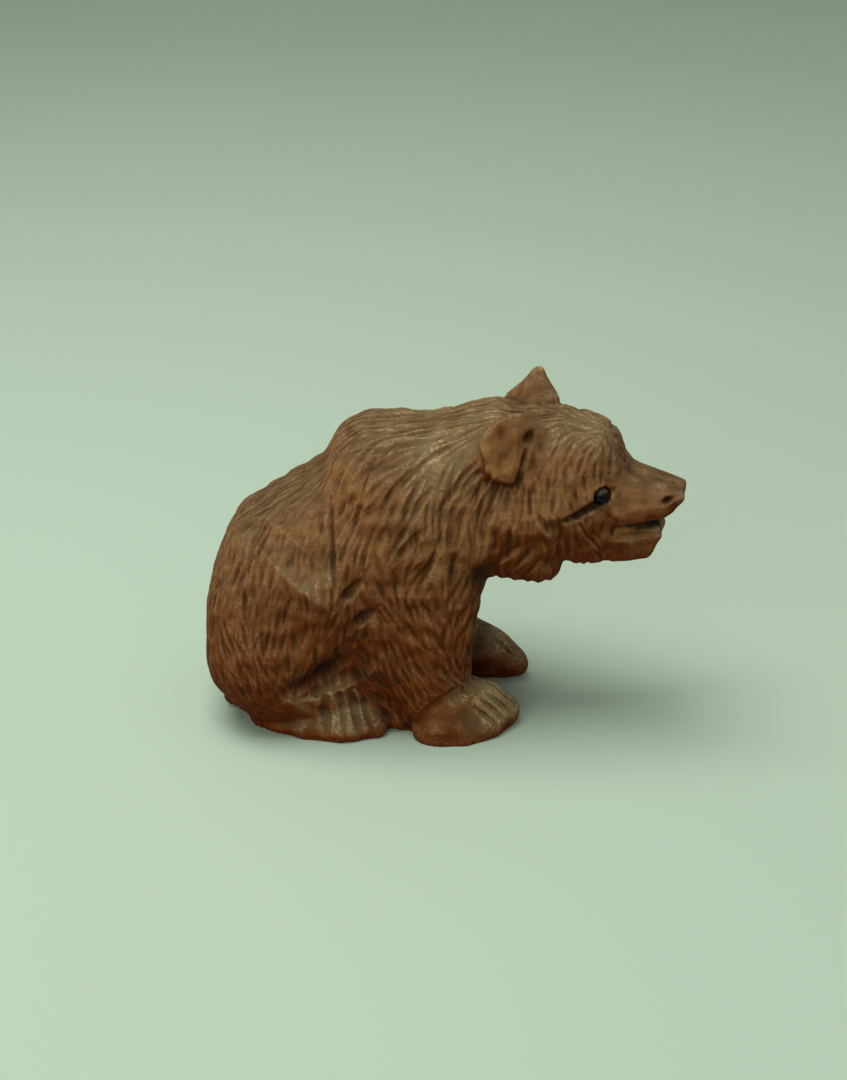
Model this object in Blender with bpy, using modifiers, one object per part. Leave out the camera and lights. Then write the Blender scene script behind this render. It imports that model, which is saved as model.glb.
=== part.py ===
"""A sitting bear carved from one block of wood, with two small bead eyes set in its head.

The bear faces +X, its right side is at -Y, and it stands on the flat underside of its rump and paws at z = 0.
The block is roughed out as overlapping forms, softened where they meet, and then cut with gouge strokes that
follow the fur.
"""

import math

import bmesh
import bpy
import numpy as np
from mathutils import Matrix, Vector
from mathutils.kdtree import KDTree

# Driving sizes, in metres
LENGTH = 0.120
EYE_DIAMETER = 0.0042
SOCKET_GAP = 0.0003
MESH_STEP = 0.0007

# How finely the surfaces are cut into faces
TRIANGLES = 8200
EYE_SEGMENTS = 16

# Proportions of the figure are in 120ths of its length, measured from a point just behind its shoulders.
UNIT = LENGTH / 120
# The middle of the whole figure's length and width, which goes to the origin
MIDDLE = Vector((-0.95, -0.65, 0.0))
# The head turns about the upright line through here.
HEAD_PIVOT = Vector((8.0, 0.0, 0.0))
HEAD_TURN = math.radians(-12)

# A form is the hull of a few balls, each (x, y, z, radius); y is the distance from the middle plane.
# Middle forms hold the balls of both sides in one hull.
BODY_MIDDLE = {
    "rump": (
        (-45.5, 9, 18, 15.6), (-45.5, 7, 31, 15), (-42.6, 6, 43.2, 13.4), (-41, 9, 0, 6.5), (-22, 10, 0, 8),
    ),
    "back": (
        (-42.6, 6, 43.2, 13.4), (-33, 6, 45.6, 13.4), (-24.5, 6, 54.6, 13.2), (-14, 8, 50, 14.6),
        (-16, 8, 20, 14),
    ),
    "belly": ((-30, 10, 4, 10), (-12, 8, 2, 8), (-10, 6, 30, 12), (-30, 10, 40, 14)),
    "shoulders": ((-16.4, 6, 63.5, 14.4), (0, 5, 63.1, 14.2), (2, 9, 50, 12), (-13, 9, 48, 14)),
    "chest": ((-8, 6, 38, 13), (0, 8, 50, 11), (-7, 6, 22, 10), (-11, 7, 2, 9)),
    "neck": ((-4, 5, 63.1, 14.2), (12, 5, 71.4, 10), (14, 7, 54, 11), (4, 9, 53, 11)),
    "tail": ((-51, 3, 15, 5.5), (-53.8, 3.6, 2.6, 3.8)),
}
# Side forms are made once for each side.
BODY_SIDES = {
    "thigh": ((-46, 11, 40, 9), (-29, 15, 33, 7.5), (-48.6, 12.5, 16, 9.8), (-36, 15.6, 18, 8)),
    "side": ((-21, 12, 43, 8.5), (-4, 13, 43, 9.5), (-17, 13, 16, 7), (-6, 15, 14, 8)),
    "upper_arm": ((-8, 10, 58, 11), (1, 10, 50, 10), (0, 13, 40, 9.5), (-16, 12, 46, 10)),
    "foreleg": ((0, 13, 44, 9.5), (-7, 13, 40, 9.5), (-5, 15.5, 10, 8), (-2, 15, 14, 8)),
    "hind_foot": (
        (-27, 13, 9, 5), (-46.8, 13.2, 1.5, 3.4), (-40, 16.3, 1.5, 3.6), (-35, 18.8, 2, 3.6),
        (-27, 20.6, 2, 3.5), (-18.5, 18.6, 2, 3.5), (-22, 13, 8, 5),
    ),
    "web": ((-17, 14, 3, 4.4), (-8, 14.4, 3, 4.4), (-12.5, 14, 12, 5)),
}
FOREPAW = (
    (-2, 18, 2, 7.5), (0, 15.5, 9, 7.5), (9.5, 14, 7.8, 5),
    (14.8, 12.8, 3.2, 4.2), (10.4, 17, 2.5, 4.7), (4, 19.8, 0, 5.2),
)
# The left forepaw stands a little ahead of the right one.
LEFT_PAW_SHIFT = Vector((3.2, -1.8, 0))
# The head's own x runs forwards from the pivot, before the head is turned.
HEAD_MIDDLE = {
    "skull": (
        (4, 5, 72, 8.5), (19, 6, 74.2, 6.8), (28, 7, 74.6, 4.3), (32, 6.4, 73.4, 2.4), (34.2, 5, 66.4, 3.3),
        (28, 9, 62, 4.5), (19, 11, 60, 5.5), (9, 11, 58, 7), (21, 8.5, 51, 5), (30, 7, 53, 4.5),
    ),
    "muzzle": (
        (34, 5, 66, 3.3), (35, 7, 60, 3.5), (49.4, 4, 63.9, 1.5), (47.3, 4, 60.4, 1.5), (45, 4.6, 59.4, 2),
        (34, 7, 57.6, 3),
    ),
    "jaw": (
        (44, 3.6, 54.8, 1.5), (44.5, 3.6, 53, 1.6), (41.6, 4, 48, 1.8), (23, 8, 50, 3.5), (26, 8.5, 48, 2.5),
        (32, 7, 54, 3),
    ),
}
HEAD_SIDES = {
    "ruff": ((17.2, 9, 45.5, 5.5), (6, 9, 46.4, 6), (19, 11.5, 57, 5), (8, 12, 58, 6)),
}
# The left ear stands up to a point, and the right one is a broad leaf with a blunt top.
LEFT_EAR = (
    (12.1, 12.8, 86.3, 1.8), (4.4, 14.8, 78, 1.8), (8, 15.2, 70, 1.8), (16, 9.8, 80.4, 2.2),
    (13.4, 12.6, 71.5, 1.8), (11, 7, 75, 4),
)
RIGHT_EAR = (
    (11.4, 12.6, 84.4, 1.8), (6.8, 14, 83.4, 1.7), (3.2, 15.2, 78.6, 1.8), (5.4, 16.4, 71.6, 2),
    (10, 15.4, 69.8, 2), (15.6, 9.6, 79.4, 2.4), (11, 7, 75, 4),
)

# A fur guide says how the hair lies near a place: (place, direction, length, width and depth of a gouge stroke)
BODY_FUR = (
    ((-5, 6, 79), (-1, 0.1, -0.1), 14, 2.7, 0.6),
    ((-8, 15, 73), (-1, 0.3, -0.75), 15, 3.0, 0.75),
    ((-7, 18, 69), (-0.7, 0.3, -1), 15, 3.1, 0.75),
    ((4, 16, 72), (-0.35, 0.2, -1), 15, 3.2, 0.85),
    ((3, 20, 60), (-0.1, 0.1, -1), 15, 3.4, 0.85),
    ((1, 22, 52), (-0.05, 0, -1), 12, 3.0, 0.7),
    ((8, 18, 49), (0, 0, -1), 10, 3.2, 0.7),
    ((-16, 12, 75), (-0.6, 0.2, -0.6), 10, 2.4, 0.35),
    ((-23, 14, 67), (-0.5, 0.3, -1), 10, 2.4, 0.4),
    ((-18, 19, 54), (-0.25, 0.1, -1), 9, 2.3, 0.45),
    ((-11, 21, 39), (0.1, 0, -1), 7, 2.2, 0.5),
    ((-17, 21, 33), (0.35, 0, -1), 7, 2.2, 0.5),
    ((-11, 22, 23), (0.6, 0, -1), 6, 2.1, 0.5),
    ((1, 22, 28), (0.05, 0, -1), 6, 2.1, 0.5),
    ((2, 20, 38), (-0.1, 0, -1), 7, 2.2, 0.5),
    ((-4, 24, 15), (0.5, 0.1, -1), 6, 2.1, 0.45),
    ((-38, 5, 64), (-0.9, 0.2, -0.5), 9, 2.4, 0.4),
    ((-47, 8, 57), (-0.6, 0.2, -0.8), 9, 2.4, 0.45),
    ((-54, 12, 45), (-0.4, 0.1, -1), 8, 2.3, 0.5),
    ((-42, 20, 40), (-0.1, 0.1, -1), 7, 2.2, 0.5),
    ((-40, 23, 31), (0.1, 0, -1), 8, 2.3, 0.55),
    ((-45, 22, 16), (0.35, 0, -1), 8, 2.3, 0.55),
    ((-57, 8, 18), (0.3, 0.2, -1), 7, 2.3, 0.5),
    ((-30, 22, 28), (-0.3, 0, -1), 7, 2.2, 0.5),
    ((-33, 19, 47), (0.3, 0, -1), 8, 2.2, 0.25),
    ((-60, 0, 25), (0.1, 0.2, -1), 8, 2.3, 0.5),
    ((8, 5, 46), (0, 0.1, -1), 8, 2.4, 0.5),
)
HEAD_FUR = (
    ((20, 13, 76), (-0.1, 0.1, -1), 6, 1.9, 0.35),
    ((20, 15, 68), (0, 0, -1), 6, 1.9, 0.4),
    ((18, 16, 61), (0.35, 0, -1), 6, 2.0, 0.45),
    ((26, 12, 62), (0.2, 0, -1), 6, 2.0, 0.4),
    ((10, 17, 64), (-0.45, 0, -1), 9, 3.2, 0.85),
    ((13, 15, 47), (-0.5, 0, -1), 11, 3.6, 0.85),
    ((20, 13, 48), (-0.3, 0, -1), 8, 2.9, 0.65),
    ((27, 3, 80), (-0.9, 0.9, -0.3), 5, 2.2, 0.5),
    ((23, 9, 78), (-0.5, 0.5, -0.8), 5, 2.1, 0.5),
    ((32, 6, 74), (-0.4, 0.4, -0.8), 5, 2.0, 0.4),
    ((27, 8, 52), (0.5, 0, -1), 6, 2.0, 0.35),
    ((8, 4, 82), (-1, 0.2, 0), 8, 2.2, 0.45),
)
FUR_SPREAD = 8.0
# The forms blend most above the paws and behind the head: where the blend starts and is full, in z and in x
BLEND_FROM_PAWS = (12, 26)
BLEND_FROM_HEAD = (12, 2)
# Softening passes over all the forms, and then over the body alone
SOFTENING = 6
BLENDING = 80

# Strokes follow the surface in steps, and keep clear of each other by shares of their width and length.
STROKE_STEP = 0.9
STROKE_SIDE_ROOM = 0.86
STROKE_END_ROOM = 0.62
# How far off the surface a stroke may be tried, how low it may start, and how its depth varies
STROKE_REACH = 1.5
STROKE_FLOOR = 2.0
STROKE_DEPTHS = (0.75, 1.15)
SEED_TRIES = 90000
MOST_STROKES = 6000
SEED = 11

# No stroke starts inside these balls: (place, radius).
BODY_BARE = (((14, 18, 2), 15), ((-1, 23, 3), 9), ((-27, 22, 2), 12), ((-38, 21, 4), 8.5), ((0, 0, 12), 13))
HEAD_BARE = (((44, 0, 60), 13), ((36, 8, 66), 6), ((11, 14, 79), 8.5), ((38, 0, 52), 10))

# A cut is one gouge stroke along a path on the surface: (points, width, depth).
BODY_CUTS = {
    "thigh_valley": (((-47, 12, 55.5), (-37, 18, 48.6), (-27, 21.8, 39.4)), 8, 1.1),
    "flank_crease": (((-27.6, 14, 64), (-27.6, 19, 52), (-27.4, 21.5, 39)), 2.2, 0.9),
    "elbow_nick": (((-20.6, 21, 45.4), (-24, 21.5, 41.8), (-27.6, 21.8, 38)), 3.4, 1.0),
    "elbow_nick_below": (((-17.2, 22, 38), (-20.5, 22, 35), (-24.2, 21.5, 31.4)), 3.6, 1.0),
    "thigh_edge": (((-24.4, 21, 28), (-26.6, 21.6, 22), (-31, 22, 18.6), (-40, 23.4, 14)), 6.5, 1.5),
    "leg_hollow": (((-18, 20, 26), (-25, 20, 19), (-37, 22, 14)), 9.5, 1.7),
    "tail_crease": (((-49.5, 14.5, 12), (-52.4, 10.5, 6.5), (-52.2, 7.4, 0)), 3.4, 2.2),
    "wrist": (((-8, 24, 6.5), (-3.6, 24, 10.6), (3.4, 20, 15.6)), 3.2, 0.7),
    "side_hollow": (((-18, 21, 20), (-14, 21, 8)), 5, 1.2),
}
TOE_CUTS = (
    ((8.6, 11.4, 11.8), (14.6, 10.4, 6.6)), ((9.4, 14.6, 11.2), (16.8, 14.2, 6)), ((9, 17, 10.8), (17, 17, 5)),
    ((8.4, 19.2, 10.2), (16, 19.8, 4.5)), ((7, 21, 9.2), (14, 22.6, 4)),
)
TOE_GROOVE = (1.7, 0.6)
# The hind foot's grooves fan out: where each one starts and ends along x, with its width and depth
FOOT_CUTS = (
    (-30.4, -30.2, 3.2, 1.3), (-27.6, -24.8, 2.1, 0.8), (-24.8, -20.8, 2.9, 1.4), (-22.8, -17.4, 2.1, 0.9),
)
EYE_PLACE = (31.5, 9.8, 65.3)
HEAD_CUTS = {
    "eye_tail": (((34, 8.8, 66.4), (30, 11.2, 63.8), (26.6, 13, 61.4), (22.4, 15.2, 59.6)), 2.8, 1.2),
    "mouth": (((35.4, 9.4, 56), (39, 8.4, 56.4), (42.4, 6.8, 56.9), (47, 4.6, 57.4), (49, 2, 57.6)), 2.6, 2.1),
    "lower_lip": (((34, 10.5, 53.6), (40, 8, 54), (45.4, 5.4, 54.2)), 2.2, 0.3),
    "ear_hollow": (((9, 14.5, 83.4), (7.6, 15.5, 78), (8, 16, 72)), 7, 0.6),
    "ear_pit": (((14.8, 12.4, 81.6), (13.9, 13, 79.8), (13.2, 13.6, 78.2)), 3.2, 1.3),
    "ear_front": (((13.8, 13, 78.6), (12.8, 15, 72), (11.6, 15.5, 67)), 2.4, 1.0),
    "ear_under": (((4, 17, 69.6), (7.4, 17, 67.8), (11.4, 16, 67)), 2.8, 0.9),
    "ear_back": (((8, 14, 87), (2.4, 15, 81), (0.8, 16, 76)), 2.4, 0.9),
    "nostril": (((48.4, 4.8, 64.4), (46.8, 6, 63.6), (45.2, 7, 63)), 2.2, 0.7),
    "brow": (((35.5, 5, 72), (35.5, 8, 68.5)), 3, 0.3),
}
# The mouth goes round the front of the jaw.
MOUTH_FRONT = ((45.8, 5, 57), (46.2, 0, 57), (45.8, -5, 57))
MOUTH_GROOVE = (2.6, 2.2)

# Colour and roughness of the materials
WOOD = ((0.085, 0.045, 0.02), 0.62)
BLACK_GLASS = ((0.006, 0.006, 0.007), 0.12)


def on_body(point):
    """A point of the body, in 120ths of the length from the middle of the bear's length."""
    return Vector(point) - MIDDLE


def turned(point):
    """A point of the head, in its own frame, as it lies once the head is turned to the bear's right."""
    return on_body(HEAD_PIVOT + Matrix.Rotation(HEAD_TURN, 3, "Z") @ Vector(point))


def left_paw(point):
    """A point of the forepaw as it lies on the left one."""
    return on_body(point) + LEFT_PAW_SHIFT


def mirrored(points, side):
    """The points on the left side for 1, or the right side for -1."""
    return [(p[0], side * p[1], *p[2:]) for p in points]


def mesh_from(bm, name):
    """A mesh with the modelled faces, which frees the modelling data."""
    mesh = bpy.data.meshes.new(name)
    bm.to_mesh(mesh)
    bm.free()
    return mesh


def hull(balls, placed):
    """A closed convex mesh around the balls."""
    bm = bmesh.new()
    for x, y, z, radius in balls:
        centre = Matrix.Translation(placed((x, y, z)) * UNIT)
        bmesh.ops.create_icosphere(bm, subdivisions=2, radius=radius * UNIT, matrix=centre)
    made = bmesh.ops.convex_hull(bm, input=bm.verts)
    loose = {v for v in made["geom_interior"] + made["geom_unused"] if isinstance(v, bmesh.types.BMVert)}
    bmesh.ops.delete(bm, geom=list(loose), context="VERTS")
    return bm


def all_forms():
    """The balls of every form, with the placing that each one takes."""
    for middle, sides, placed in ((BODY_MIDDLE, BODY_SIDES, on_body), (HEAD_MIDDLE, HEAD_SIDES, turned)):
        for balls in middle.values():
            yield mirrored(balls, 1) + mirrored(balls, -1), placed
        for balls in sides.values():
            yield mirrored(balls, 1), placed
            yield mirrored(balls, -1), placed
    yield mirrored(LEFT_EAR, 1), turned
    yield mirrored(RIGHT_EAR, -1), turned
    yield mirrored(FOREPAW, -1), on_body
    yield mirrored(FOREPAW, 1), left_paw


def roughed_out():
    """All the forms as overlapping hulls in one mesh."""
    whole = bmesh.new()
    for balls, placed in all_forms():
        mesh = mesh_from(hull(balls, placed), "form")
        whole.from_mesh(mesh)
        bpy.data.meshes.remove(mesh)
    return mesh_from(whole, "bear")


def apply_modifiers(obj):
    """Leaves the object with the mesh that its modifiers make, and without them."""
    graph = bpy.context.evaluated_depsgraph_get()
    mesh = bpy.data.meshes.new_from_object(obj.evaluated_get(graph))
    obj.modifiers.clear()
    old = obj.data
    obj.data = mesh
    bpy.data.meshes.remove(old)


def vertex_places(mesh):
    """The vertices' coordinates, one row each."""
    places = np.empty(len(mesh.vertices) * 3)
    mesh.vertices.foreach_get("co", places)
    return places.reshape(-1, 3)


def ramp(values, start, end):
    """0 up to start, 1 past end, and a straight run between them; start may be the larger."""
    return np.clip((values - start) / (end - start), 0, 1)


def fuse(bear):
    """One skin over all the forms, softest where the body's forms meet."""
    remesh = bear.modifiers.new("Fuse forms", "REMESH")
    remesh.mode = "VOXEL"
    remesh.voxel_size = MESH_STEP
    apply_modifiers(bear)
    x, _, z = vertex_places(bear.data).T / UNIT
    body = ramp(z, *BLEND_FROM_PAWS) * ramp(x, *BLEND_FROM_HEAD)
    group = bear.vertex_groups.new(name="body")
    for level in range(1, 11):
        chosen = np.flatnonzero(np.round(body * 10) == level)
        group.add(chosen.tolist(), level / 10, "REPLACE")
    for name, times, vertex_group in (("Soften", SOFTENING, ""), ("Blend the body", BLENDING, "body")):
        smooth = bear.modifiers.new(name, "SMOOTH")
        smooth.iterations = times
        smooth.factor = 0.5
        smooth.vertex_group = vertex_group
    apply_modifiers(bear)


class Skin:
    """The bear's surface, in 120ths of its length, and how deep each of its points is cut."""

    def __init__(self, mesh):
        self.mesh = mesh
        self.places = vertex_places(mesh) / UNIT
        normals = np.empty(len(mesh.vertices) * 3)
        mesh.vertex_normals.foreach_get("vector", normals)
        self.normals = normals.reshape(-1, 3)
        self.depths = np.zeros(len(self.places))
        self.tree = KDTree(len(self.places))
        for i, place in enumerate(self.places):
            self.tree.insert(place, i)
        self.tree.balance()

    def settle(self, point):
        """The point brought down to the surface, the normal there, and how far away it was."""
        near, i, distance = self.tree.find(point)
        normal = Vector(self.normals[i])
        return point - normal * (point - near).dot(normal), normal, distance

    def cut(self, path, width, depth):
        """Sinks a groove along the path, deepest at its middle and running out at both ends."""
        path = np.array(path)
        reach = width / 2
        near = set()
        for point in path:
            near.update(i for _, i, _ in self.tree.find_range(point, reach * 1.25))
        if not near:
            return
        chosen = np.fromiter(near, int)
        starts, runs = path[:-1], np.diff(path, axis=0)
        away = self.places[chosen][:, None] - starts
        along = np.clip((away * runs).sum(-1) / np.maximum((runs ** 2).sum(-1), 1e-9), 0, 1)
        gaps = np.linalg.norm(away - along[..., None] * runs, axis=-1)
        nearest = gaps.argmin(1)
        rows = np.arange(len(chosen))
        share = (nearest + along[rows, nearest]) / len(runs)
        swell = np.sin(math.pi * np.clip(share, 0.04, 0.96)) ** 0.6
        across = gaps[rows, nearest] / (reach * (0.5 + 0.5 * swell))
        sunk = depth * swell * np.clip(1 - across ** 2, 0, None)
        self.depths[chosen] = np.maximum(self.depths[chosen], sunk)

    def finish(self):
        """Moves the mesh's vertices to the depths that were cut."""
        self.places -= self.normals * self.depths[:, None]
        self.mesh.vertices.foreach_set("co", (self.places * UNIT).ravel())
        self.mesh.update()


def laid_on(skin, points):
    """A path through the points, in short steps, brought down to the surface."""
    path = []
    for start, end in zip(points, points[1:]):
        count = max(2, math.ceil((end - start).length / STROKE_STEP))
        path += [start.lerp(end, i / count) for i in range(count)]
    return [skin.settle(p)[0] for p in path + [points[-1]]]


def fur_guides():
    """The guides of both sides as rows of place, direction, length, width and depth."""
    rows = []
    for guides, placed in ((BODY_FUR, on_body), (HEAD_FUR, turned)):
        for place, lie, *sizes in guides:
            for side in (1, -1):
                start, end = (placed(p) for p in mirrored((place, np.add(place, lie)), side))
                rows.append((*start, *(end - start).normalized(), *sizes))
    return np.array(rows)


def bare_spots():
    """The balls in which no stroke starts, on both sides, as rows of place and radius."""
    spots = []
    for balls, placed in ((BODY_BARE, on_body), (HEAD_BARE, turned)):
        for place, radius in balls:
            spots += [(*placed(mirrored((place,), side)[0]), radius) for side in (1, -1)]
    return np.array(spots)


def fur_at(point, guides):
    """How the hair lies at a point: direction, length, width and depth, from the guides around it."""
    distances = ((guides[:, :3] - point) ** 2).sum(1)
    weights = np.exp((distances.min() - distances) / (2 * FUR_SPREAD ** 2))
    mixed = weights @ guides[:, 3:] / weights.sum()
    return Vector(mixed[:3]), mixed[3], mixed[4], mixed[5]


def lie_on(lie, normal):
    """The direction of the hair, pressed flat onto the surface."""
    return (lie - normal * lie.dot(normal)).normalized()


def stroke_path(skin, point, lie, length, guides):
    """A gouge's path from a point along the hair, following both the surface and the hair's lie."""
    path = [point]
    for _ in range(int(length / STROKE_STEP)):
        point, normal, _ = skin.settle(point + lie * STROKE_STEP)
        path.append(point)
        lie = lie_on(fur_at(np.array(point), guides)[0], normal)
    return path


def carve_fur(skin):
    """Gouge strokes over the whole coat, side by side and staggered like bricks."""
    rng = np.random.default_rng(SEED)
    guides = fur_guides()
    bare = bare_spots()
    low, high = skin.places.min(0), skin.places.max(0)
    starts = np.empty((MOST_STROKES, 3))
    count = 0
    for x, y, z in rng.uniform(low, high, (SEED_TRIES, 3)):
        point, normal, distance = skin.settle(Vector((x, y, z)))
        if distance > STROKE_REACH or point.z < STROKE_FLOOR:
            continue
        if (np.linalg.norm(bare[:, :3] - point, axis=1) < bare[:, 3]).any():
            continue
        lie, length, width, depth = fur_at(np.array(point), guides)
        lie = lie_on(lie, normal)
        gaps = starts[:count] - point
        along = np.abs(gaps @ lie)
        across = np.sqrt(np.maximum((gaps ** 2).sum(1) - along ** 2, 0))
        if ((along < length * STROKE_END_ROOM) & (across < width * STROKE_SIDE_ROOM)).any():
            continue
        if count == MOST_STROKES:
            break
        starts[count] = point
        count += 1
        path = stroke_path(skin, point, lie, length, guides)
        skin.cut(path, width, depth * rng.uniform(*STROKE_DEPTHS))


def carve_details(skin):
    """The creases, toes, ears, nostrils and the tails of the eyes."""
    for cuts, placed in ((BODY_CUTS, on_body), (HEAD_CUTS, turned)):
        for points, width, depth in cuts.values():
            for side in (1, -1):
                skin.cut(laid_on(skin, [placed(p) for p in mirrored(points, side)]), width, depth)
    skin.cut(laid_on(skin, [turned(p) for p in MOUTH_FRONT]), *MOUTH_GROOVE)
    for points in TOE_CUTS:
        skin.cut(laid_on(skin, [on_body(p) for p in mirrored(points, -1)]), *TOE_GROOVE)
        skin.cut(laid_on(skin, [left_paw(p) for p in mirrored(points, 1)]), *TOE_GROOVE)
    for root, tip, width, depth in FOOT_CUTS:
        points = ((root, 18, 14.5), ((root + tip) / 2, 21, 9), (tip, 25, 1.5))
        for side in (1, -1):
            skin.cut(laid_on(skin, [on_body(p) for p in mirrored(points, side)]), width, depth)


def new_material(name, colour, roughness):
    material = bpy.data.materials.new(name)
    material.use_nodes = True
    shader = material.node_tree.nodes["Principled BSDF"]
    shader.inputs["Base Color"].default_value = (*colour, 1)
    shader.inputs["Roughness"].default_value = roughness
    shader.inputs["Metallic"].default_value = 0
    return material


def new_collection(name):
    collection = bpy.data.collections.new(name)
    bpy.context.scene.collection.children.link(collection)
    return collection


def ball(name, radius):
    """A smooth round bead around the origin."""
    bm = bmesh.new()
    bmesh.ops.create_uvsphere(bm, u_segments=EYE_SEGMENTS, v_segments=EYE_SEGMENTS // 2, radius=radius)
    mesh = mesh_from(bm, name)
    mesh.shade_smooth()
    return bpy.data.objects.new(name, mesh)


def eye_centre(side):
    """The middle of a bead eye, in metres: the left one for 1, the right one for -1."""
    return turned(mirrored((EYE_PLACE,), side)[0]) * UNIT


def make_eyes(collection):
    glass = new_material("black glass", *BLACK_GLASS)
    for name, side in (("eye_left", 1), ("eye_right", -1)):
        eye = ball(name, EYE_DIAMETER / 2)
        eye.location = eye_centre(side)
        eye.data.materials.append(glass)
        collection.objects.link(eye)


def make_cutters(collection):
    """The sockets of the eyes, and the ground that the underside is cut flat on."""
    cutters = []
    for name, side in (("socket_left", 1), ("socket_right", -1)):
        socket = ball(name, EYE_DIAMETER / 2 + SOCKET_GAP)
        socket.location = eye_centre(side)
        cutters.append(socket)
    bm = bmesh.new()
    bmesh.ops.create_cube(bm, size=2 * LENGTH, matrix=Matrix.Translation((0, 0, -LENGTH)))
    cutters.append(bpy.data.objects.new("ground", mesh_from(bm, "ground")))
    for cutter in cutters:
        cutter.hide_render = True
        cutter.display_type = "WIRE"
        collection.objects.link(cutter)
    return cutters


def make_bear(collection, cutters):
    bear = bpy.data.objects.new("bear", roughed_out())
    collection.objects.link(bear)
    fuse(bear)
    skin = Skin(bear.data)
    carve_fur(skin)
    carve_details(skin)
    skin.finish()
    thin = bear.modifiers.new("Thin out", "DECIMATE")
    thin.ratio = TRIANGLES / (2 * len(bear.data.polygons))
    for cutter in cutters:
        cut = bear.modifiers.new("Cut " + cutter.name, "BOOLEAN")
        cut.object = cutter
        cut.operation = "DIFFERENCE"
        cut.solver = "EXACT"
    bear.data.materials.append(new_material("carved wood", *WOOD))


def main():
    for obj in list(bpy.data.objects):
        bpy.data.objects.remove(obj)
    cutters = make_cutters(new_collection("cutters"))
    parts = new_collection("bear figurine")
    make_bear(parts, cutters)
    make_eyes(parts)


main()
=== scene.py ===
"""The looks of a sitting bear carved from one block of wood: its fine coat, its bead eyes, its old stain,
and painted light and shade.

The bear faces +X, its right side is at -Y, and it stands on z = 0. The coat is cut again here over the same
forms as the solid's, with finer strokes than the solid carries.
"""

import math

import bmesh
import bpy
import numpy as np
from mathutils import Matrix, Vector, noise
from mathutils.bvhtree import BVHTree
from mathutils.kdtree import KDTree


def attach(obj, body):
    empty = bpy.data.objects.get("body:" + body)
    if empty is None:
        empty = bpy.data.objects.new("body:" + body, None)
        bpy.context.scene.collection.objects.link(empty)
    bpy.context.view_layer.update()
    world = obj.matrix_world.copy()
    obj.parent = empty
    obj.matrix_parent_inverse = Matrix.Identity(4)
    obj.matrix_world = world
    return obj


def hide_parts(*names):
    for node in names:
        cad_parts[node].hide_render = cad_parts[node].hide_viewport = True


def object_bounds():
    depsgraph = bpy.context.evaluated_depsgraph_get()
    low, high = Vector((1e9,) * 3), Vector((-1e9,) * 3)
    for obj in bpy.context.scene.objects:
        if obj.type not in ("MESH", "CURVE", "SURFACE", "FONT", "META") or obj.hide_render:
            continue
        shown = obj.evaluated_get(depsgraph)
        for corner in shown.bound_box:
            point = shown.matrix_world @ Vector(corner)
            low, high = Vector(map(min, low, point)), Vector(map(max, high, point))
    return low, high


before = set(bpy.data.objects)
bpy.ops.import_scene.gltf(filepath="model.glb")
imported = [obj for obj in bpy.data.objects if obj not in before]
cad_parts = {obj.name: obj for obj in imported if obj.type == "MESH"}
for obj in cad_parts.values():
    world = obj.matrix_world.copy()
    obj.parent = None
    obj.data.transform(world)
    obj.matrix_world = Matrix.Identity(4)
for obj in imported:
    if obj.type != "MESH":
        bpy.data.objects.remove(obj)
cad_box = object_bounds()

# Driving sizes, in metres
LENGTH = 0.120
EYE_DIAMETER = 0.0042
MESH_STEP = 0.00037

# The most faces that the bear's skin keeps, and the beads' faces round and up
TRIANGLES = 195000
BEAD_FACES = (48, 24)

# Proportions of the figure are in 120ths of its length, measured from a point just behind its shoulders.
UNIT = LENGTH / 120
# The middle of the whole figure's length and width, which goes to the origin
MIDDLE = Vector((-0.95, -0.65, 0.0))
# The head turns about the upright line through here.
HEAD_PIVOT = Vector((8.0, 0.0, 0.0))
HEAD_TURN = math.radians(-12)

# A form is the hull of a few balls, each (x, y, z, radius); y is the distance from the middle plane.
# Middle forms hold the balls of both sides in one hull.
BODY_MIDDLE = {
    "rump": (
        (-45.5, 9, 18, 15.6), (-45.5, 7, 31, 15), (-42.6, 6, 43.2, 13.4), (-41, 9, 0, 6.5), (-22, 10, 0, 8),
    ),
    "back": (
        (-42.6, 6, 43.2, 13.4), (-33, 6, 45.6, 13.4), (-24.5, 6, 54.6, 13.2), (-14, 8, 50, 14.6),
        (-16, 8, 20, 14),
    ),
    "belly": ((-30, 10, 4, 10), (-12, 8, 2, 8), (-10, 6, 30, 12), (-30, 10, 40, 14)),
    "shoulders": ((-16.4, 6, 63.5, 14.4), (0, 5, 63.1, 14.2), (2, 9, 50, 12), (-13, 9, 48, 14)),
    "chest": ((-8, 6, 38, 13), (0, 8, 50, 11), (-7, 6, 22, 10), (-11, 7, 2, 9)),
    "neck": ((-4, 5, 63.1, 14.2), (12, 5, 71.4, 10), (14, 7, 54, 11), (4, 9, 53, 11)),
    "tail": ((-51, 3, 15, 5.5), (-53.8, 3.6, 2.6, 3.8)),
}
# Side forms are made once for each side.
BODY_SIDES = {
    "thigh": ((-46, 11, 40, 9), (-29, 15, 33, 7.5), (-48.6, 12.5, 16, 9.8), (-36, 15.6, 18, 8)),
    "side": ((-21, 12, 43, 8.5), (-4, 13, 43, 9.5), (-17, 13, 16, 7), (-6, 15, 14, 8)),
    "upper_arm": ((-8, 10, 58, 11), (1, 10, 50, 10), (0, 13, 40, 9.5), (-16, 12, 46, 10)),
    "foreleg": ((0, 13, 44, 9.5), (-7, 13, 40, 9.5), (-5, 15.5, 10, 8), (-2, 15, 14, 8)),
    "hind_foot": (
        (-27, 13, 9, 5), (-46.8, 13.2, 1.5, 3.4), (-40, 16.3, 1.5, 3.6), (-35, 18.8, 2, 3.6),
        (-27, 20.6, 2, 3.5), (-18.5, 18.6, 2, 3.5), (-22, 13, 8, 5),
    ),
    "web": ((-17, 14, 3, 4.4), (-8, 14.4, 3, 4.4), (-12.5, 14, 12, 5)),
}
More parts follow.
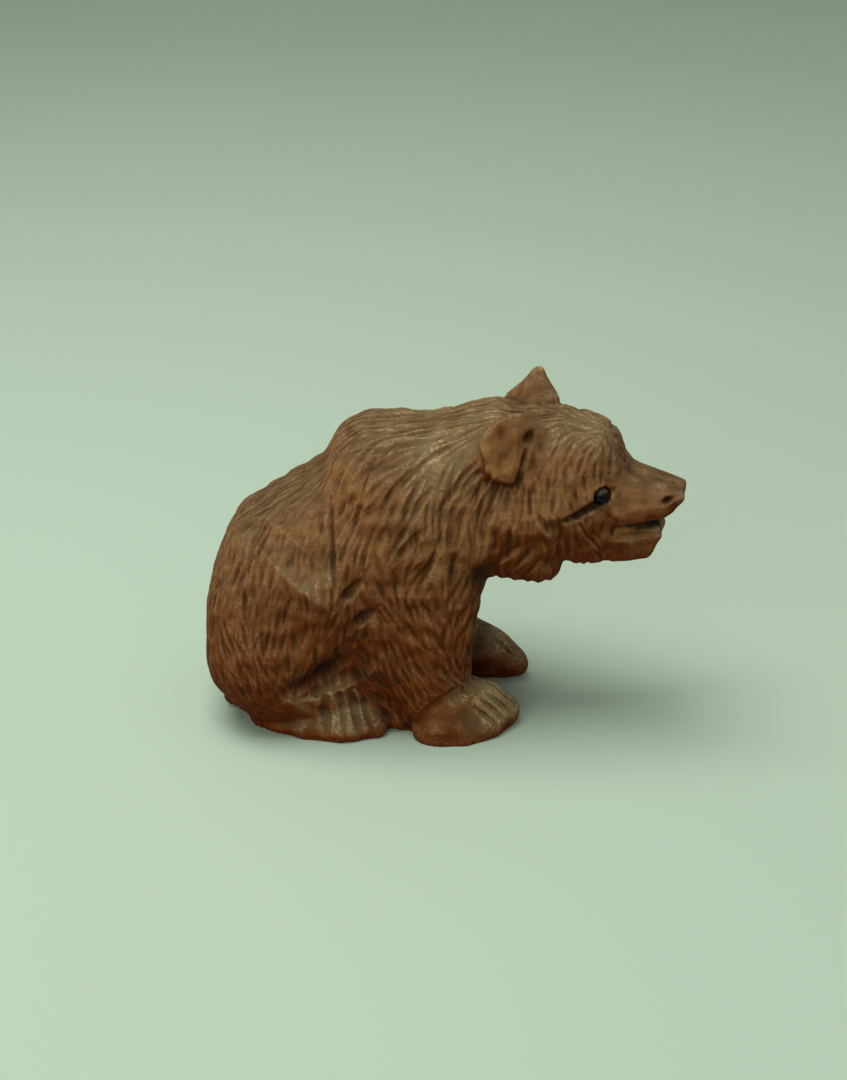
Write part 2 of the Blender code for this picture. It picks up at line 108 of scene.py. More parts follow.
FOREPAW = (
    (-2, 18, 2, 7.5), (0, 15.5, 9, 7.5), (9.5, 14, 7.8, 5),
    (14.8, 12.8, 3.2, 4.2), (10.4, 17, 2.5, 4.7), (4, 19.8, 0, 5.2),
)
# The left forepaw stands a little ahead of the right one.
LEFT_PAW_SHIFT = Vector((3.2, -1.8, 0))
# The head's own x runs forwards from the pivot, before the head is turned.
HEAD_MIDDLE = {
    "skull": (
        (4, 5, 72, 8.5), (19, 6, 74.2, 6.8), (28, 7, 74.6, 4.3), (32, 6.4, 73.4, 2.4), (34.2, 5, 66.4, 3.3),
        (28, 9, 62, 4.5), (19, 11, 60, 5.5), (9, 11, 58, 7), (21, 8.5, 51, 5), (30, 7, 53, 4.5),
    ),
    "muzzle": (
        (34, 5, 66, 3.3), (35, 7, 60, 3.5), (49.4, 4, 63.9, 1.5), (47.3, 4, 60.4, 1.5), (45, 4.6, 59.4, 2),
        (34, 7, 57.6, 3),
    ),
    "jaw": (
        (44, 3.6, 54.8, 1.5), (44.5, 3.6, 53, 1.6), (41.6, 4, 48, 1.8), (23, 8, 50, 3.5), (26, 8.5, 48, 2.5),
        (32, 7, 54, 3),
    ),
}
HEAD_SIDES = {
    "ruff": ((17.2, 9, 45.5, 5.5), (6, 9, 46.4, 6), (19, 11.5, 57, 5), (8, 12, 58, 6)),
}
# The left ear stands up to a point, and the right one is a broad leaf with a blunt top.
LEFT_EAR = (
    (12.1, 12.8, 86.3, 1.8), (4.4, 14.8, 78, 1.8), (8, 15.2, 70, 1.8), (16, 9.8, 80.4, 2.2),
    (13.4, 12.6, 71.5, 1.8), (11, 7, 75, 4),
)
RIGHT_EAR = (
    (11.4, 12.6, 84.4, 1.8), (6.8, 14, 83.4, 1.7), (3.2, 15.2, 78.6, 1.8), (5.4, 16.4, 71.6, 2),
    (10, 15.4, 69.8, 2), (15.6, 9.6, 79.4, 2.4), (11, 7, 75, 4),
)

# A fur guide says how the hair lies near a place: the place, the hair's direction, and the length, width and
# depth of a gouge stroke there.
BODY_FUR = (
    ((-5, 6, 79), (-1, 0.1, -0.1), 14, 2.7, 0.6),
    ((-8, 15, 73), (-1, 0.3, -0.75), 15, 3.0, 0.75),
    ((-7, 18, 69), (-0.7, 0.3, -1), 15, 3.1, 0.75),
    ((4, 16, 72), (-0.35, 0.2, -1), 15, 3.2, 0.85),
    ((3, 20, 60), (-0.1, 0.1, -1), 15, 3.4, 0.85),
    ((1, 22, 52), (-0.05, 0, -1), 12, 3.0, 0.7),
    ((8, 18, 49), (0, 0, -1), 10, 3.2, 0.7),
    ((-16, 12, 75), (-0.6, 0.2, -0.6), 10, 2.4, 0.35),
    ((-23, 14, 67), (-0.5, 0.3, -1), 10, 2.4, 0.4),
    ((-18, 19, 54), (-0.25, 0.1, -1), 9, 2.3, 0.45),
    ((-11, 21, 39), (0.1, 0, -1), 7, 2.2, 0.5),
    ((-17, 21, 33), (0.35, 0, -1), 7, 2.2, 0.5),
    ((-11, 22, 23), (0.6, 0, -1), 6, 2.1, 0.5),
    ((1, 22, 28), (0.05, 0, -1), 6, 2.1, 0.5),
    ((2, 20, 38), (-0.1, 0, -1), 7, 2.2, 0.5),
    ((-4, 24, 15), (0.5, 0.1, -1), 6, 2.1, 0.45),
    ((-38, 5, 64), (-0.9, 0.2, -0.5), 9, 2.4, 0.4),
    ((-47, 8, 57), (-0.6, 0.2, -0.8), 9, 2.4, 0.45),
    ((-54, 12, 45), (-0.4, 0.1, -1), 8, 2.3, 0.5),
    ((-42, 20, 40), (-0.1, 0.1, -1), 7, 2.2, 0.5),
    ((-40, 23, 31), (0.1, 0, -1), 8, 2.3, 0.55),
    ((-45, 22, 16), (0.35, 0, -1), 8, 2.3, 0.55),
    ((-57, 8, 18), (0.3, 0.2, -1), 7, 2.3, 0.5),
    ((-30, 22, 28), (-0.3, 0, -1), 7, 2.2, 0.5),
    ((-33, 19, 47), (0.3, 0, -1), 8, 2.2, 0.25),
    ((-60, 0, 25), (0.1, 0.2, -1), 8, 2.3, 0.5),
    ((8, 5, 46), (0, 0.1, -1), 8, 2.4, 0.5),
)
HEAD_FUR = (
    ((20, 13, 76), (-0.1, 0.1, -1), 6, 1.9, 0.35),
    ((20, 15, 68), (0, 0, -1), 6, 1.9, 0.4),
    ((18, 16, 61), (0.35, 0, -1), 6, 2.0, 0.45),
    ((26, 12, 62), (0.2, 0, -1), 6, 2.0, 0.4),
    ((10, 17, 64), (-0.45, 0, -1), 9, 3.2, 0.85),
    ((13, 15, 47), (-0.5, 0, -1), 11, 3.6, 0.85),
    ((20, 13, 48), (-0.3, 0, -1), 8, 2.9, 0.65),
    ((27, 3, 80), (-0.9, 0.9, -0.3), 5, 2.2, 0.5),
    ((23, 9, 78), (-0.5, 0.5, -0.8), 5, 2.1, 0.5),
    ((32, 6, 74), (-0.4, 0.4, -0.8), 5, 2.0, 0.4),
    ((27, 8, 52), (0.5, 0, -1), 6, 2.0, 0.35),
    ((8, 4, 82), (-1, 0.2, 0), 8, 2.2, 0.45),
)
FUR_SPREAD = 8.0
# The forms blend most above the paws and behind the head: where the blend starts and is full, in z and in x
BLEND_FROM_PAWS = (12, 26)
BLEND_FROM_HEAD = (12, 2)
# The blend's strength is set in this many levels.
BLEND_LEVELS = 10
# Softening passes over all the forms, and then over the body alone
SOFTENING = 20
BLENDING = 280

# Strokes follow the surface in steps, and keep clear of each other by shares of their width and length.
STROKE_STEP = 0.8
STROKE_SIDE_ROOM = 0.86
STROKE_END_ROOM = 0.62
# How far off the surface a stroke may be tried, how low it may start, and how its width and depth vary
STROKE_REACH = 1.5
STROKE_FLOOR = 1.0
STROKE_WIDTHS = (0.8, 1.25)
STROKE_DEPTHS = (0.5, 1.3)
SEED_TRIES = 150000
MOST_STROKES = 20000
SEED = 11
# A coat of strokes: length, width and depth against the guides', how much it adds where strokes cross, and
# how far its strokes stray from the hair's lie, one by one and in whole tufts
BROAD_COAT = (1.1, 0.8, 0.85, 0.3, math.radians(8), math.radians(26))
FINE_COAT = (0.8, 0.44, 0.34, 0.7, math.radians(14), math.radians(20))
# The size of tufts and of the flats that the knife left, and how deep the flats go
TUFT_SIZE = 8.0
FLAT_SIZE = 4.2
FLAT_DEPTH = 0.24
# Cuts wider than this are hollows, which keep this share of the strokes in them.
HOLLOW_WIDTH = 4.5
HOLLOW_OVER = 0.9
# A groove deepens from its ends as this power of a sine, read between these shares of its path, and narrows
# towards its ends to this share of its full width.
GROOVE_SWELL = 0.6
GROOVE_SPAN = (0.04, 0.96)
GROOVE_END_WIDTH = 0.5
# Points of the skin are looked for out to this many half widths from the path's own points.
GROOVE_SEARCH = 1.25

# No stroke starts inside these balls, and one that runs in ends there: (place, radius).
BODY_BARE = (((14, 18, 2), 15), ((-1, 23, 3), 9), ((-27, 22, 2), 12), ((-38, 21, 4), 8.5), ((0, 0, 12), 13))
HEAD_BARE = (((44, 0, 60), 13), ((36, 8, 66), 6), ((11, 14, 79), 8.5), ((38, 0, 52), 10))

# A cut is one gouge stroke along a path on the surface: (points, width, depth).
BODY_CUTS = {
    "thigh_valley": (((-47, 12, 55.5), (-37, 18, 48.6), (-27, 21.8, 39.4)), 8, 1.1),
    "flank_crease": (((-27.6, 14, 64), (-27.6, 19, 52), (-27.4, 21.5, 39)), 2.2, 0.9),
    "elbow_nick": (((-20.6, 21, 45.4), (-24, 21.5, 41.8), (-27.6, 21.8, 38)), 3.4, 1.0),
    "elbow_nick_below": (((-17.2, 22, 38), (-20.5, 22, 35), (-24.2, 21.5, 31.4)), 3.6, 1.0),
    "thigh_edge": (((-24.4, 21, 28), (-26.6, 21.6, 22), (-31, 22, 18.6), (-40, 23.4, 14)), 6.5, 1.5),
    "leg_hollow": (((-18, 20, 26), (-25, 20, 19), (-37, 22, 14)), 9.5, 1.7),
    "tail_crease": (((-49.5, 14.5, 12), (-52.4, 10.5, 6.5), (-52.2, 7.4, 0)), 3.4, 2.2),
    "wrist": (((-8, 24, 6.5), (-3.6, 24, 10.6), (3.4, 20, 15.6)), 3.2, 0.7),
    "side_hollow": (((-18, 21, 20), (-14, 21, 8)), 5, 1.2),
}
TOE_CUTS = (
    ((8.6, 11.4, 11.8), (14.6, 10.4, 6.6)), ((9.4, 14.6, 11.2), (16.8, 14.2, 6)),
    ((9, 17, 10.8), (17, 17, 5)), ((8.4, 19.2, 10.2), (16, 19.8, 4.5)), ((7, 21, 9.2), (14, 22.6, 4)),
)
TOE_GROOVE = (1.7, 0.6)
# The hind foot's grooves fan out: where each one starts and ends along x, with its width and depth
FOOT_CUTS = (
    (-30.4, -30.2, 3.2, 1.3), (-27.6, -24.8, 2.1, 0.8), (-24.8, -20.8, 2.9, 1.4), (-22.8, -17.4, 2.1, 0.9),
)
# They all run down the foot's outer side: the y and z of their start, middle and end
FOOT_FALL = ((18, 14.5), (21, 9), (25, 1.5))
EYE_PLACE = (31.5, 9.8, 65.3)
HEAD_CUTS = {
    "eye_tail": (((34, 8.8, 66.4), (30, 11.2, 63.8), (26.6, 13, 61.4), (22.4, 15.2, 59.6)), 2.8, 1.2),
    "mouth": (
        ((35.4, 9.4, 56), (39, 8.4, 56.4), (42.4, 6.8, 56.9), (47, 4.6, 57.4), (49, 2, 57.6)), 2.6, 2.1,
    ),
    "lower_lip": (((34, 10.5, 53.6), (40, 8, 54), (45.4, 5.4, 54.2)), 2.2, 0.3),
    "ear_hollow": (((9, 14.5, 83.4), (7.6, 15.5, 78), (8, 16, 72)), 7, 0.6),
    "ear_pit": (((14.8, 12.4, 81.6), (13.9, 13, 79.8), (13.2, 13.6, 78.2)), 3.2, 1.3),
    "ear_front": (((13.8, 13, 78.6), (12.8, 15, 72), (11.6, 15.5, 67)), 2.4, 1.0),
    "ear_under": (((4, 17, 69.6), (7.4, 17, 67.8), (11.4, 16, 67)), 2.8, 0.9),
    "ear_back": (((8, 14, 87), (2.4, 15, 81), (0.8, 16, 76)), 2.4, 0.9),
    "nostril": (((48.4, 4.8, 64.4), (46.8, 6, 63.6), (45.2, 7, 63)), 2.2, 0.7),
    "brow": (((35.5, 5, 72), (35.5, 8, 68.5)), 3, 0.3),
}
# The mouth goes round the front of the jaw.
MOUTH_FRONT = ((45.8, 5, 57), (46.2, 0, 57), (45.8, -5, 57))
MOUTH_GROOVE = (2.6, 2.2)

# The room between a bead and its socket, and the way that the left socket opens in the head's own frame
SOCKET_ROOM = 0.2
SOCKET_LOOK = (0.3, 1, 0.1)
# Some cuts are worn to a share of the solid's depth, and so are the hind feet's grooves.
WORN = {"ear_pit": 0.5, "wrist": 0.8}
FOOT_WEAR = 0.62

# Old dust lies pale in some places, and painted light brightens the paws, the lower lips and the ears' lit
# edges; painted shadow darkens others: (place, radius, share)
BODY_DUST_AND_LIGHT = (
    ((-2, 12, 76), 11, 1.0), ((-12, 6, 79), 8, 0.5), ((-37, 18, 49), 6, 0.7), ((-30, 21.6, 43.5), 6, 0.8),
    ((12, 15, 9), 11, 1.8), ((3, 19, 14), 6, 1.0), ((-36, 21, 9.5), 6, 1.6), ((-26, 20, 9), 9, 1.1),
    ((8, 4, 82), 9, 0.6), ((-6, 18, 66), 8, 0.7),
)
HEAD_DUST_AND_LIGHT = (
    ((27, 4, 79), 9, 0.8), ((20, 9, 79), 6, 0.6), ((40, 7.6, 54.6), 2.2, 0.9), ((45, 5, 55), 2.2, 0.9),
    ((3.6, 14.5, 82), 3, 0.8), ((12, 13, 88), 3, 0.7), ((13.6, 12, 78.6), 1.6, 0.8), ((34, 5, 70), 5, 0.5),
)
# Painted shadows in the creases, between the legs, under the ruff and by the tail
BODY_SHADOW_SPOTS = (
    ((-30, 21, 20), 6, 0.8), ((-23, 21, 30), 4, 0.5), ((-20, 19, 18), 5, 0.5), ((7, 17, 45), 6, 0.8),
    ((2, 20.5, 46), 4, 0.5), ((-14, 18, 8), 4, 0.4), ((-53, 8, 6), 4, 0.6), ((-35, 22, 18), 5, 0.7),
    ((-24, 21.5, 42), 2.6, 0.6), ((-20.6, 21.3, 35), 2.6, 0.6), ((-50, 20, 43), 3, 0.4),
    ((-38, 21, 39), 3, 0.4),
)
# Painted shadows in the mouth, round the eyes and along their tails, in the ears' hollows and the nostrils,
# and under the chin and ruff
HEAD_SHADOW_SPOTS = (
    ((14, 8, 43), 8, 0.7), ((40, 0, 47), 7, 0.6), ((38.4, 6.2, 56.5), 2.0, 1.1),
    ((40.4, 5.4, 56.7), 2.5, 1.2), ((42.6, 4.4, 57), 2.9, 1.2), ((45, 3, 57.2), 3.0, 1.2),
    ((30, 10.2, 63.6), 3.5, 1.2), ((28, 11.4, 62.2), 2.5, 1.2), ((26, 12.7, 61), 1.9, 1.0),
    ((23.8, 14.1, 60), 1.2, 0.8), ((14, 12.6, 80.2), 2.4, 0.5), ((11.5, 15, 70), 2, 0.5),
    ((8, 16, 67), 2.4, 0.6), ((46.8, 5.4, 63.6), 1.7, 0.8),
)

# The skin is evened this many times before each point's height above it is taken, near and wide.
EVENING = {"relief_fine": 5, "relief_wide": 60}
# Openness is the share of rays that leave a place freely: how many places are tried and with how many rays,
# how steep and how long (in metres) a ray is, how far off the skin it starts, and how many are averaged.
OPEN_PLACES = 9000
OPEN_RAYS = 40
RAY_SLOPE = 0.1
RAY_LENGTH = 0.06
RAY_LIFT = 0.6
OPEN_NEIGHBOURS = 5

# Colours as the screen shows them, in 255ths: the wood's own on the sides, greyed on top by dust and painted
# cool light, and painted shade underneath
LOW_SIDE = (99, 52, 19)
HIGH_SIDE = (125, 88, 53)
CLOUDED_SIDE = (138, 94, 55)
TOP_DUST_AND_COOL_LIGHT = (92, 72, 46)
SHADED_RED_UNDERSIDE = (84, 33, 4)
# What darkens it: blotches and grain, darker strokes, and painted shade and shadow in hollows, shut-in
# places and pits
BLOTCH = (64, 38, 18)
GRAIN = (60, 33, 14)
HOLLOW_SHADE = (50, 25, 8)
GROOVE = (42, 24, 11)
SHUT_IN = (38, 16, 4)
PAINTED_SHADOW_TONE = (28, 13, 6)
PIT_SHADE = (22, 11, 6)
# What makes it paler: dust, with painted light in some spots, and ridges rubbed pale, painted lighter on top
# and darker on the sides
PALE_DUST_AND_LIGHT = (116, 103, 73)
RUBBED_SHADED_SIDE = (124, 76, 38)
RUBBED_LIT_TOP = (164, 138, 100)
# The beads, black with a painted highlight, and the floor
BEAD_BLACK = (5, 4, 4)
BEAD_HIGHLIGHT = (66, 60, 52)
FLOOR_GREEN = (156, 176, 156)

# The camera stands as it did for the photograph: its height angle, its distance and what it looks at
CAMERA_RISE = math.radians(27)
CAMERA_DISTANCE = 0.50
CAMERA_TARGET = Vector((-0.00445, 0.00065, 0.045))
FOCAL_LENGTH = 66.7
SENSOR = 36

# Soft square lamps: name, place, size, power and colour
LAMPS = (
    ("overhead", (-0.2, 0.0, 0.78), 0.5, 6.8, (1.0, 0.99, 0.97)),
    ("front", (-0.3, -0.75, 0.4), 0.6, 2.85, (1.0, 0.96, 0.92)),
)
SKY = (1.0, 0.98, 0.96, 1)
SKY_STRENGTH = 0.4
FLOOR_SIZE = 4


def on_body(point):
    """A point of the body, in 120ths of the length from the origin."""
    return Vector(point) - MIDDLE


def turned(point):
    """A point of the head, in its own frame, as it lies once the head is turned to the bear's right."""
    return on_body(HEAD_PIVOT + Matrix.Rotation(HEAD_TURN, 3, "Z") @ Vector(point))


def left_paw(point):
    """A point of the forepaw as it lies on the left one."""
    return on_body(point) + LEFT_PAW_SHIFT


def mirrored(points, side):
    """The points on the left side for 1, or the right side for -1."""
    return [(p[0], side * p[1], *p[2:]) for p in points]


def mesh_from(bm, name):
    """A mesh with the modelled faces, which frees the modelling data."""
    mesh = bpy.data.meshes.new(name)
    bm.to_mesh(mesh)
    bm.free()
    return mesh


def hull(balls, placed):
    """A closed convex mesh around the balls."""
    bm = bmesh.new()
    for x, y, z, radius in balls:
        centre = Matrix.Translation(placed((x, y, z)) * UNIT)
        bmesh.ops.create_icosphere(bm, subdivisions=3, radius=radius * UNIT, matrix=centre)
    made = bmesh.ops.convex_hull(bm, input=bm.verts)
    loose = {v for v in made["geom_interior"] + made["geom_unused"] if isinstance(v, bmesh.types.BMVert)}
    bmesh.ops.delete(bm, geom=list(loose), context="VERTS")
    return bm


def all_forms():
    """The balls of every form, with the placing that each one takes."""
    for middle, sides, placed in ((BODY_MIDDLE, BODY_SIDES, on_body), (HEAD_MIDDLE, HEAD_SIDES, turned)):
        for balls in middle.values():
            yield mirrored(balls, 1) + mirrored(balls, -1), placed
        for balls in sides.values():
            yield mirrored(balls, 1), placed
            yield mirrored(balls, -1), placed
    yield mirrored(LEFT_EAR, 1), turned
    yield mirrored(RIGHT_EAR, -1), turned
    yield mirrored(FOREPAW, -1), on_body
    yield mirrored(FOREPAW, 1), left_paw


def roughed_out():
    """All the forms as overlapping hulls in one mesh."""
    whole = bmesh.new()
    for balls, placed in all_forms():
        mesh = mesh_from(hull(balls, placed), "form")
        whole.from_mesh(mesh)
        bpy.data.meshes.remove(mesh)
    return mesh_from(whole, "carved_bear")


def apply_modifiers(obj):
    """Leaves the object with the mesh that its modifiers make, and without them."""
    graph = bpy.context.evaluated_depsgraph_get()
    mesh = bpy.data.meshes.new_from_object(obj.evaluated_get(graph))
    obj.modifiers.clear()
    old = obj.data
    obj.data = mesh
    bpy.data.meshes.remove(old)


def vertex_places(mesh):
    """The vertices' coordinates, one row each."""
    places = np.empty(len(mesh.vertices) * 3)
    mesh.vertices.foreach_get("co", places)
    return places.reshape(-1, 3)


def vertex_normals(mesh):
    """The vertices' outward directions, one row each."""
    normals = np.empty(len(mesh.vertices) * 3)
    mesh.vertex_normals.foreach_get("vector", normals)
    return normals.reshape(-1, 3)


def ramp(values, start, end):
    """0 up to start, 1 past end, and a straight run between them; start may be the larger."""
    return np.clip((values - start) / (end - start), 0, 1)


def fuse(bear):
    """One skin over all the forms, softest where the body's forms meet."""
    remesh = bear.modifiers.new("Fuse forms", "REMESH")
    remesh.mode = "VOXEL"
    remesh.voxel_size = MESH_STEP
    apply_modifiers(bear)
    x, _, z = vertex_places(bear.data).T / UNIT
    body = ramp(z, *BLEND_FROM_PAWS) * ramp(x, *BLEND_FROM_HEAD)
    group = bear.vertex_groups.new(name="body")
    for level in range(1, BLEND_LEVELS + 1):
        chosen = np.flatnonzero(np.round(body * BLEND_LEVELS) == level)
        group.add(chosen.tolist(), level / BLEND_LEVELS, "REPLACE")
    for name, times, vertex_group in (("Soften", SOFTENING, ""), ("Blend the body", BLENDING, "body")):
        smooth = bear.modifiers.new(name, "SMOOTH")
        smooth.iterations = times
        smooth.factor = 0.5
        smooth.vertex_group = vertex_group
    apply_modifiers(bear)
    bear.vertex_groups.clear()


class Skin:
    """The bear's surface, in 120ths of its length, and how deep each of its points is cut."""

    def __init__(self, mesh):
        self.mesh = mesh
        self.places = vertex_places(mesh) / UNIT
        self.normals = vertex_normals(mesh)
        self.depths = np.zeros(len(self.places))
        self.tree = KDTree(len(self.places))
        for i, place in enumerate(self.places):
            self.tree.insert(place, i)
        self.tree.balance()

    def settle(self, point):
        """The point brought down to the surface, the normal there, and how far away it was."""
        near, i, distance = self.tree.find(point)
        normal = Vector(self.normals[i])
        return point - normal * (point - near).dot(normal), normal, distance

    def cut(self, path, width, depth, over=0.0):
        """Sinks a groove along the path, deepest at its middle and running out at both ends.

        Where grooves meet the deeper one counts, and a share of the shallower one is added to it.
        """
        path = np.array(path)
        reach = width / 2
        near = set()
        for point in path:
            near.update(i for _, i, _ in self.tree.find_range(point, reach * GROOVE_SEARCH))
        if not near:
            return
        chosen = np.fromiter(near, int)
        starts, runs = path[:-1], np.diff(path, axis=0)
        away = self.places[chosen][:, None] - starts
        along = np.clip((away * runs).sum(-1) / np.maximum((runs ** 2).sum(-1), 1e-9), 0, 1)
        gaps = np.linalg.norm(away - along[..., None] * runs, axis=-1)
        nearest = gaps.argmin(1)
        rows = np.arange(len(chosen))
        share = (nearest + along[rows, nearest]) / len(runs)
        swell = np.sin(math.pi * np.clip(share, *GROOVE_SPAN)) ** GROOVE_SWELL
        across = gaps[rows, nearest] / (reach * (GROOVE_END_WIDTH + (1 - GROOVE_END_WIDTH) * swell))
        sunk = depth * swell * np.clip(1 - across ** 2, 0, None)
        had = self.depths[chosen]
        self.depths[chosen] = np.maximum(had, sunk) + over * np.minimum(had, sunk)

    def pare(self):
        """Takes shallow flats off the whole surface, as a knife leaves them."""
        uneven = [noise.noise(Vector(place) / FLAT_SIZE) for place in self.places]
        self.depths += FLAT_DEPTH * (1 + np.clip(np.array(uneven) * 2, -1, 1))

    def finish(self):
        """Moves the mesh's vertices to the depths that were cut."""
        self.places -= self.normals * self.depths[:, None]
        self.mesh.vertices.foreach_set("co", (self.places * UNIT).ravel())
        self.mesh.update()


def laid_on(skin, points):
    """A path through the points, in short steps, brought down to the surface."""
    path = []
    for start, end in zip(points, points[1:]):
        count = max(2, math.ceil((end - start).length / STROKE_STEP))
        path += [start.lerp(end, i / count) for i in range(count)]
    return [skin.settle(p)[0] for p in path + [points[-1]]]


def fur_guides():
    """The guides of both sides as rows of place, direction, length, width and depth."""
    rows = []
    for guides, placed in ((BODY_FUR, on_body), (HEAD_FUR, turned)):
        for place, lie, *sizes in guides:
            for side in (1, -1):
                start, end = (placed(p) for p in mirrored((place, np.add(place, lie)), side))
                rows.append((*start, *(end - start).normalized(), *sizes))
    return np.array(rows)


def both_sides(body, head):
    """The spots of the body and the head on both sides, as rows of place and what follows it."""
    rows = []
    for spots, placed in ((body, on_body), (head, turned)):
        for place, *rest in spots:
            rows += [(*placed(mirrored((place,), side)[0]), *rest) for side in (1, -1)]
    return np.array(rows)


def fur_at(point, guides):
    """How the hair lies at a point: direction, length, width and depth, from the guides around it."""
    distances = ((guides[:, :3] - point) ** 2).sum(1)
    weights = np.exp((distances.min() - distances) / (2 * FUR_SPREAD ** 2))
    mixed = weights @ guides[:, 3:] / weights.sum()
    return Vector(mixed[:3]), mixed[3], mixed[4], mixed[5]


def lie_on(lie, normal):
    """The direction of the hair, pressed flat onto the surface."""
    return (lie - normal * lie.dot(normal)).normalized()


def is_bare(point, bare):
    """Whether the point lies in a ball that strokes keep out of."""
    return (((bare[:, :3] - point) ** 2).sum(1) < bare[:, 3] ** 2).any()


def stroke_path(skin, point, lie, length, guides, bare, turn):
    """A gouge's path from a point along the hair, turned a little from the hair's own lie."""
    path = [point]
    for _ in range(max(2, int(length / STROKE_STEP))):
        point, normal, _ = skin.settle(point + lie * STROKE_STEP)
        path.append(point)
        if is_bare(point, bare):
            break
        lie = Matrix.Rotation(turn, 3, normal) @ lie_on(fur_at(np.array(point), guides)[0], normal)
    return path


def carve_fur(skin, coat, seed):
    """Gouge strokes over the whole bear, side by side, none too near another's start."""
    long, wide, deep, over, stray, tuft = coat
    rng = np.random.default_rng(seed)
    guides = fur_guides()
    bare = both_sides(BODY_BARE, HEAD_BARE)
    low, high = skin.places.min(0), skin.places.max(0)
    starts = np.empty((MOST_STROKES, 3))
    count = 0
    for x, y, z in rng.uniform(low, high, (SEED_TRIES, 3)):
        point, normal, distance = skin.settle(Vector((x, y, z)))
        if distance > STROKE_REACH or point.z < STROKE_FLOOR:
            continue
        if is_bare(point, bare):
            continue
        lie, length, width, depth = fur_at(np.array(point), guides)
        length, width, depth = length * long, width * wide, depth * deep
        lie = lie_on(lie, normal)
        gaps = starts[:count] - point
        along = np.abs(gaps @ lie)
        across = np.sqrt(np.maximum((gaps ** 2).sum(1) - along ** 2, 0))
        if ((along < length * STROKE_END_ROOM) & (across < width * STROKE_SIDE_ROOM)).any():
            continue
        if count == MOST_STROKES:
            break
        starts[count] = point
        count += 1
        turn = tuft * noise.noise(point / TUFT_SIZE + Vector((0, 0, seed))) * 2 + rng.uniform(-stray, stray)
        path = stroke_path(skin, point, Matrix.Rotation(turn, 3, normal) @ lie, length, guides, bare, turn)
        skin.cut(path, width * rng.uniform(*STROKE_WIDTHS), depth * rng.uniform(*STROKE_DEPTHS), over)


def carve_details(skin):
    """The creases, toes, ears, nostrils and the tails of the eyes."""
    for cuts, placed in ((BODY_CUTS, on_body), (HEAD_CUTS, turned)):
        for name, (points, width, depth) in cuts.items():
            remains = depth * WORN.get(name, 1)
            over = HOLLOW_OVER if width > HOLLOW_WIDTH else 0
            for side in (1, -1):
                skin.cut(laid_on(skin, [placed(p) for p in mirrored(points, side)]), width, remains, over)
    skin.cut(laid_on(skin, [turned(p) for p in MOUTH_FRONT]), *MOUTH_GROOVE)
    for points in TOE_CUTS:
        skin.cut(laid_on(skin, [on_body(p) for p in mirrored(points, -1)]), *TOE_GROOVE)
        skin.cut(laid_on(skin, [left_paw(p) for p in mirrored(points, 1)]), *TOE_GROOVE)
    for root, tip, width, depth in FOOT_CUTS:
        points = [(x, *place) for x, place in zip((root, (root + tip) / 2, tip), FOOT_FALL)]
        for side in (1, -1):
            skin.cut(laid_on(skin, [on_body(p) for p in mirrored(points, side)]), width, depth * FOOT_WEAR)


def eye_centre(side):
    """The middle of a bead eye: the left one for 1, the right one for -1."""
    return turned(mirrored((EYE_PLACE,), side)[0])


def sink_sockets(mesh):
    """Presses a round cup behind each bead, a little wider than the bead."""
    places = vertex_places(mesh) / UNIT
    radius = EYE_DIAMETER / 2 / UNIT + SOCKET_ROOM
    for side in (1, -1):
        centre = np.array(eye_centre(side))
        outwards = Matrix.Rotation(HEAD_TURN, 3, "Z") @ Vector(mirrored((SOCKET_LOOK,), side)[0])
        outwards = np.array(outwards.normalized())
        away = places - centre
        height = away @ outwards
        beside = (away ** 2).sum(1) - height ** 2
        inside = (beside < radius ** 2) & (np.abs(height) < 2 * radius)
        drop = height[inside] + np.sqrt(radius ** 2 - beside[inside])
        places[inside] -= np.clip(drop, 0, None)[:, None] * outwards
    mesh.vertices.foreach_set("co", (places * UNIT).ravel())
    mesh.update()


def cut_flat(bear):
    """Cuts the underside off flat at z = 0."""
    bm = bmesh.new()
    bm.from_mesh(bear.data)
    whole = bm.verts[:] + bm.edges[:] + bm.faces[:]
    ground, down = (0, 0, 0), (0, 0, -1)
    made = bmesh.ops.bisect_plane(bm, geom=whole, plane_co=ground, plane_no=down, clear_outer=True)
    rim = [e for e in made["geom_cut"] if isinstance(e, bmesh.types.BMEdge)]
    bmesh.ops.holes_fill(bm, edges=rim, sides=0)
    bmesh.ops.triangulate(bm, faces=[f for f in bm.faces if len(f.verts) > 4])
    bm.to_mesh(bear.data)
    bm.free()


def fit_in_solid(mesh):
    """Draws the surface in by the little that its finer skin stands outside the solid's box."""
    places = vertex_places(mesh)
    low, high = np.array(cad_box)
    least, most = places.min(0), places.max(0)
    share = np.minimum(1, (high - low) / (most - least))
    centre = (least + most) / 2
    centre[2] = 0
    moved = (places - centre) * share + centre
    moved += np.maximum(low - moved.min(0), 0) - np.maximum(moved.max(0) - high, 0)
    mesh.vertices.foreach_set("co", moved.ravel())
    mesh.update()


def neighbour_mean(values, edges, counts):
    """Each vertex's mean over the vertices joined to it."""
    total = np.empty_like(values)
    for axis in range(3):
        one = np.bincount(edges[:, 0], values[edges[:, 1], axis], len(values))
        total[:, axis] = one + np.bincount(edges[:, 1], values[edges[:, 0], axis], len(values))
    return total / counts[:, None]


def keep(mesh, name, values):
    """Stores one number for each vertex, for the wood's colour to read."""
    attribute = mesh.attributes.new(name, "FLOAT", "POINT")
    attribute.data.foreach_set("value", values.astype(np.float32))


